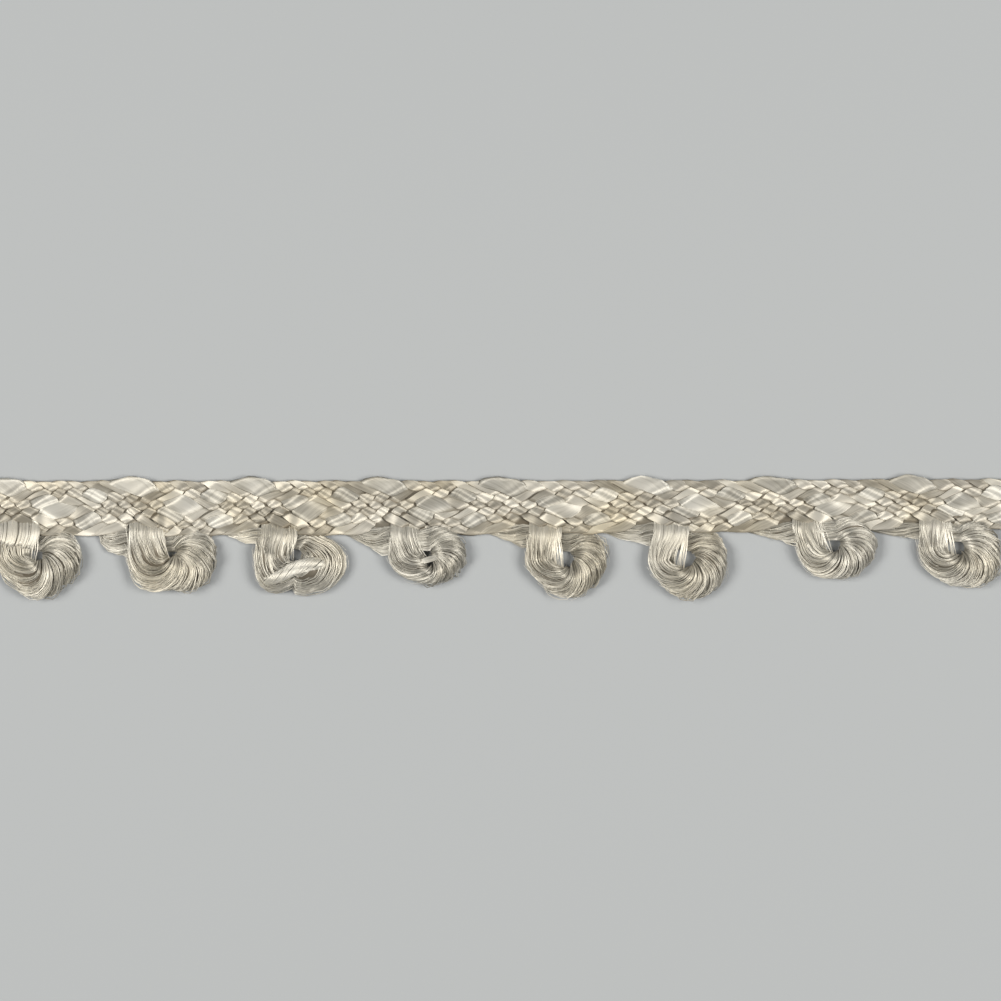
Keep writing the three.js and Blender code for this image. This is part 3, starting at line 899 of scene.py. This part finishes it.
def loose_hairs(surface, count, rng):
    """Short hairs that leave the outer side of the ring: each lies along the surface, curls aside
    as the square of the way along it, stands off as its power 1.5, and thins out to its tip."""
    share = np.linspace(0, 1, STRAND_STATIONS)
    first = rng.uniform(*HAIR_PLACE, count) * surface[-1, 0]
    reached = first[:, None] + rng.uniform(*HAIR_LENGTH, count)[:, None] * share
    outer = np.interp(first + HAIR_AHEAD, surface[:, 0], surface[:, -1])
    outer = outer + rng.uniform(*HAIR_ANGLE, count)
    curl = rng.uniform(*HAIR_CURL, count)[:, None] * share ** 2
    stand = rng.uniform(*HAIR_STAND, count)[:, None] * share ** 1.5 - HAIR_SUNK
    lines, normals = on_loop(surface, reached, outer[:, None] + curl, stand, HAIR_FOOT)
    thin = rng.uniform(*HAIR_RADIUS, count)[:, None] * (1 - HAIR_TAPER * share)
    return small_tubes(lines, normals, thin, HAIR_ROUND)


# The hanging strands. Their tops: how far inside the leg's edge, over how much of its width,
# how far above the hole's edge and how uneven, and their height. Their lower ends: between which
# shares of the hole's radius to the left, on what ellipse, how uneven, and their height. Between
# them they arch, and past them they go on into the leg and into the ring.
TOP_INSIDE, TOP_ALONG, TOP_ABOVE, TOP_UNEVEN, TOP_Z = 0.15, 1.0, 1.1, (0.2, 0.9), 1.75
LOW_FROM, LOW_ALONG, LOW_OVAL, LOW_Z = 1.3, 1.1, 1.6, 1.55
LOW_UNEVEN_X, LOW_UNEVEN_Y = (-0.1, 0.1), (-0.1, 0.2)
ARCH_ASIDE, ARCH = (-0.25, 0.15), 0.25
INTO_LEG, INTO_RING = (-0.1, 0.9, -0.15), (0.5, -0.6, -0.5)
HANGING_RADIUS = (0.035, 0.06)
UP = np.array([0.0, 0.0, 1.0])


def points(x, y, z):
    """Points from their coordinates."""
    return np.stack(np.broadcast_arrays(x, y, z), axis=-1)


def hanging_strands(loop, count, rng):
    """Strands that have come away from the inner side of the leg: they slant down over the left
    half of the hole, and join the ring below it. Each is a smooth curve through five points."""
    hole_x, hole_y, radius = loop["holeX"], loop["holeY"], loop["holeR"]
    leg_edge = loop["legX"] + loop["legWidth"] / 2
    spread = np.linspace(0, 1, count)
    above = TOP_ABOVE + radius
    top = points(leg_edge - TOP_INSIDE - TOP_ALONG * (1 - spread),
                 hole_y + above + rng.uniform(*TOP_UNEVEN, count), TOP_Z)
    aside = LOW_FROM - LOW_ALONG * spread + rng.uniform(*LOW_UNEVEN_X, count)
    low_y = hole_y - radius * np.sqrt(1.0 - (aside / LOW_OVAL) ** 2)
    low = points(hole_x - radius * aside, low_y + rng.uniform(*LOW_UNEVEN_Y, count), LOW_Z)
    middle = (top + low) / 2 + points(rng.uniform(*ARCH_ASIDE, count), 0.0, ARCH)
    rows = np.stack([top + INTO_LEG, top, middle, low, low + INTO_RING])
    place = np.linspace(0, len(rows) - 1, STRAND_STATIONS)
    curves = smooth_rows(rows.reshape(len(rows), -1), place)
    lines = curves.reshape(STRAND_STATIONS, count, 3).transpose(1, 0, 2)
    thick = np.broadcast_to(rng.uniform(*HANGING_RADIUS, (count, 1)), lines.shape[:2])
    return small_tubes(lines, np.broadcast_to(UP, lines.shape), thick, STRAND_ROUND)


# The cuff's strands: their angle from the upper side, how far above the leg's foot they begin,
# how far off the leg they lie, and their radius.
CUFF_ANGLE, CUFF_FROM, CUFF_RISE, CUFF_RADIUS = (-1.3, 1.3), (1.0, 1.5), 0.22, (0.06, 0.10)


def cuff_strands(surface, row_at, count, rng):
    """A cuff: strands along the upper side of the leg, from just above its foot to where it is
    under the braid."""
    angles = np.pi / 2 + rng.uniform(*CUFF_ANGLE, count)[:, None]
    first = (row_at[LEG_FOOT_ROW] + rng.uniform(*CUFF_FROM, count))[:, None]
    reached = first + (row_at[-2] - first) * np.linspace(0, 1, STRAND_STATIONS)
    angles = angles + np.interp(reached, surface[:, 0], surface[:, -1])
    lines, normals = on_loop(surface, reached, angles, CUFF_RISE, HAIR_FOOT)
    thick = np.broadcast_to(rng.uniform(*CUFF_RADIUS, (count, 1)), reached.shape)
    return small_tubes(lines, normals, thick, STRAND_ROUND)


# Spun strands: their size at both ends, as a share, how blunt they are, how uneven the strands'
# angles, how far out they lie, as a share, and their radius.
SPUN_END, SPUN_BLUNTNESS = 0.35, 0.7
SPUN_UNEVEN, SPUN_OUT, SPUN_RADIUS = 0.1, (0.80, 1.05), (0.05, 0.09)


def spun_strands(path, count, half_width, half_height, turns, rng):
    """Strands spun round a path of points: side by side on an ellipse that shrinks towards both
    ends, with so many turns of twist."""
    place = np.linspace(0, len(path) - 1, STRAND_STATIONS)
    centre = smooth_rows(np.array(path, float), place)
    along = unit(np.gradient(centre, axis=0))
    side = unit(np.cross(along, UP))
    share = np.linspace(0, 1, STRAND_STATIONS)
    size = (SPUN_END + (1 - SPUN_END) * np.sin(np.pi * share) ** SPUN_BLUNTNESS)[None]
    angle = rng.uniform(0, 2 * np.pi, (count, 1)) + 2 * np.pi * turns * share
    angle = angle + rng.normal(0, SPUN_UNEVEN, (count, 1))
    off = rng.uniform(*SPUN_OUT, (count, 1)) * size
    sideways = (half_width * off * np.cos(angle))[..., None] * side
    upwards = (half_height * off * np.sin(angle))[..., None] * np.cross(side, along)
    thick = rng.uniform(*SPUN_RADIUS, (count, 1)) * size
    return small_tubes(centre + sideways + upwards, sideways + upwards, thick, STRAND_ROUND)


# The middle lines of the third loop's roll, below its hole, and of the bridge across the fourth's,
# from the middle of the hole. Then their strands, half width, half height and turns of twist.
ROLL = [(-4.3, -3.5, 1.3), (-2.6, -3.0, 2.15), (-0.3, -1.8, 2.40), (1.9, -1.2, 2.15),
        (3.6, -1.1, 1.6), (4.9, -1.3, 0.8)]
BRIDGE = [(-2.2, -1.2, 1.3), (-0.9, -0.9, 1.8), (0.4, -0.55, 1.95), (1.8, -0.2, 1.8),
          (3.0, -0.1, 1.2)]
ROLL_STRANDS = (80, 0.85, 0.60, 1.6)
BRIDGE_STRANDS = (26, 0.32, 0.22, 0.3)

# The course's rows behind the leg and at the leg's foot. Most stations lie between the first of
# them and the braid, and these shares at the hidden ends. The leg grows calm over so many mm.
BEHIND_ROW = ROWS_BEFORE_RING - 1
LEG_FOOT_ROW = ROWS_BEFORE_RING + len(RING_TURNS) - 1
LOOP_STATIONS = 62
STATION_SHARES = (0, 0.16, 0.92, 1)
CALM_OVER = 3

# The core: how far it lies inside the section, and how much less so in the leg. The tones, from
# darkened (below 0) to light: the core's, which in the ring is painted shade where it shows in the
# gaps between the bundles, and how much lighter it is in the leg, and the ranges of the locks',
# the bundles', the hairs' and strands' and the extra strands'.
CORE_RISE, CORE_RISE_LEG = -0.30, 0.25
CORE_ROUND = 36
CORE_FOOT = 0.10
CORE_SHADE_TONE, CORE_TONE_LEG = -0.6, 1.2
LOCK_TONE, LOCK_WEIGHT, OWN_TONE, LEG_TONE = (-0.25, 0.75), 0.6, (0, 0.55), 0.75
HAIR_TONE, EXTRA_TONE = (0.5, 1), (0.6, 1.2)
LOOP_SEED = 40


def make_loop(loop, look, number):
    """A loop's core, its bundles of fibres, its loose hairs, its hanging strands, and its cuff,
    roll or bridge, as one piece. The core closes it under the bundles, and is darkest in the ring,
    where its colour is painted shade in the gaps between them.
    The leg is paler and more even than the ring."""
    rng = np.random.default_rng(LOOP_SEED + number)
    surface, row_at = loop_surface(loop_course(loop, look, number))
    where = np.interp(np.linspace(0, 1, LOOP_STATIONS), STATION_SHARES,
                      [0, row_at[BEHIND_ROW], row_at[-3], surface[-1, 0]])
    calm = np.clip((where - row_at[LEG_FOOT_ROW]) / CALM_OVER, 0, 1)

    bundles, lock = fibre_bundles(surface, row_at, where, calm, look, rng)
    angle = -2 * np.pi * np.arange(CORE_ROUND) / CORE_ROUND
    rise = CORE_RISE + CORE_RISE_LEG * calm[:, None]
    around = np.repeat(where[:, None], CORE_ROUND, axis=1)
    core, _ = on_loop(surface, around, angle[None], rise, CORE_FOOT)
    hairs = loose_hairs(surface, look["hairs"], rng)
    strands = hanging_strands(loop, look["hanging"], rng)
    hole = points(loop["holeX"], loop["holeY"], 0.0)
    extra = []
    if look["cuff"]:
        extra.append(cuff_strands(surface, row_at, look["cuff"], rng))
    if look["roll"]:
        extra.append(spun_strands(hole + np.array(ROLL), *ROLL_STRANDS, rng))
    if look["south"]:
        extra.append(spun_strands(hole + np.array(BRIDGE), *BRIDGE_STRANDS, rng))

    own = rng.uniform(*LOCK_TONE, LOCKS)[lock] * LOCK_WEIGHT + rng.uniform(*OWN_TONE, BUNDLES)
    own = own[:, None]
    # The core's tone is painted shade in the ring, dark where it shows between the bundles, and
    # lighter in the leg.
    tones = [CORE_SHADE_TONE + CORE_TONE_LEG * calm[None], own + (LEG_TONE - own) * CALMED_TONE * calm]
    tones += [rng.uniform(*HAIR_TONE, (len(group), 1)) for group in (hairs, strands)]
    tones += [rng.uniform(*EXTRA_TONE, (len(group), 1)) for group in extra]
    groups = [core[None], bundles, hairs, strands, *extra]
    return join_tubes(f"curl_{number}", groups, 1, tones, ROVING, [f"loop_{number}"])


curls = [make_loop(loop, look, number)
         for number, (loop, look) in enumerate(zip(LOOPS, LOOKS), start=1)]

# ---------------------------------------------------------------------------------------------
# The table and the light: a pale matt sheet, a soft lamp on either side, half way up, and a
# plain bright room.
# ---------------------------------------------------------------------------------------------

FLOOR_HALF = 3.0
LAMP_DISTANCE = 0.75
LAMP_ELEVATION = np.radians(54)
LAMP_SIZE = 0.36
LAMP_POWER = 3.75
LAMP_COLOUR = (1.0, 0.965, 0.895)
ROOM_COLOUR = (0.90, 0.95, 1.0, 1.0)
ROOM_STRENGTH = 0.13

# Grey card: it has no gloss to speak of, so it shows the trim's soft shadow and nothing else.
card = bpy.data.materials.new("matt grey card")
card.use_nodes = True
card_shader = card.node_tree.nodes["Principled BSDF"]
card_shader.inputs["Base Color"].default_value = linear("#B4B8BC")
card_shader.inputs["Roughness"].default_value = 0.9
card_shader.inputs["Specular IOR Level"].default_value = 0.2

floor_mesh = bpy.data.meshes.new("floor")
corners = [(-FLOOR_HALF, -FLOOR_HALF, 0), (FLOOR_HALF, -FLOOR_HALF, 0),
           (FLOOR_HALF, FLOOR_HALF, 0), (-FLOOR_HALF, FLOOR_HALF, 0)]
floor_mesh.from_pydata(corners, [], [(0, 1, 2, 3)])
floor_mesh.materials.append(card)
floor = bpy.data.objects.new("floor", floor_mesh)
bpy.context.collection.objects.link(floor)

for side, name in ((-1, "lamp_left"), (1, "lamp_right")):
    lamp = bpy.data.lights.new(name, "AREA")
    lamp.shape = "SQUARE"
    lamp.size = LAMP_SIZE
    lamp.energy = LAMP_POWER
    lamp.color = LAMP_COLOUR
    holder = bpy.data.objects.new(name, lamp)
    holder.location = (side * LAMP_DISTANCE * np.cos(LAMP_ELEVATION), 0,
                       LAMP_DISTANCE * np.sin(LAMP_ELEVATION))
    holder.rotation_euler = (0, side * (np.pi / 2 - LAMP_ELEVATION), 0)
    bpy.context.collection.objects.link(holder)

room = bpy.data.worlds.new("room")
room.use_nodes = True
room_light = room.node_tree.nodes["Background"]
room_light.inputs["Color"].default_value = ROOM_COLOUR
room_light.inputs["Strength"].default_value = ROOM_STRENGTH
bpy.context.scene.world = room
bpy.context.scene.view_settings.view_transform = "Standard"
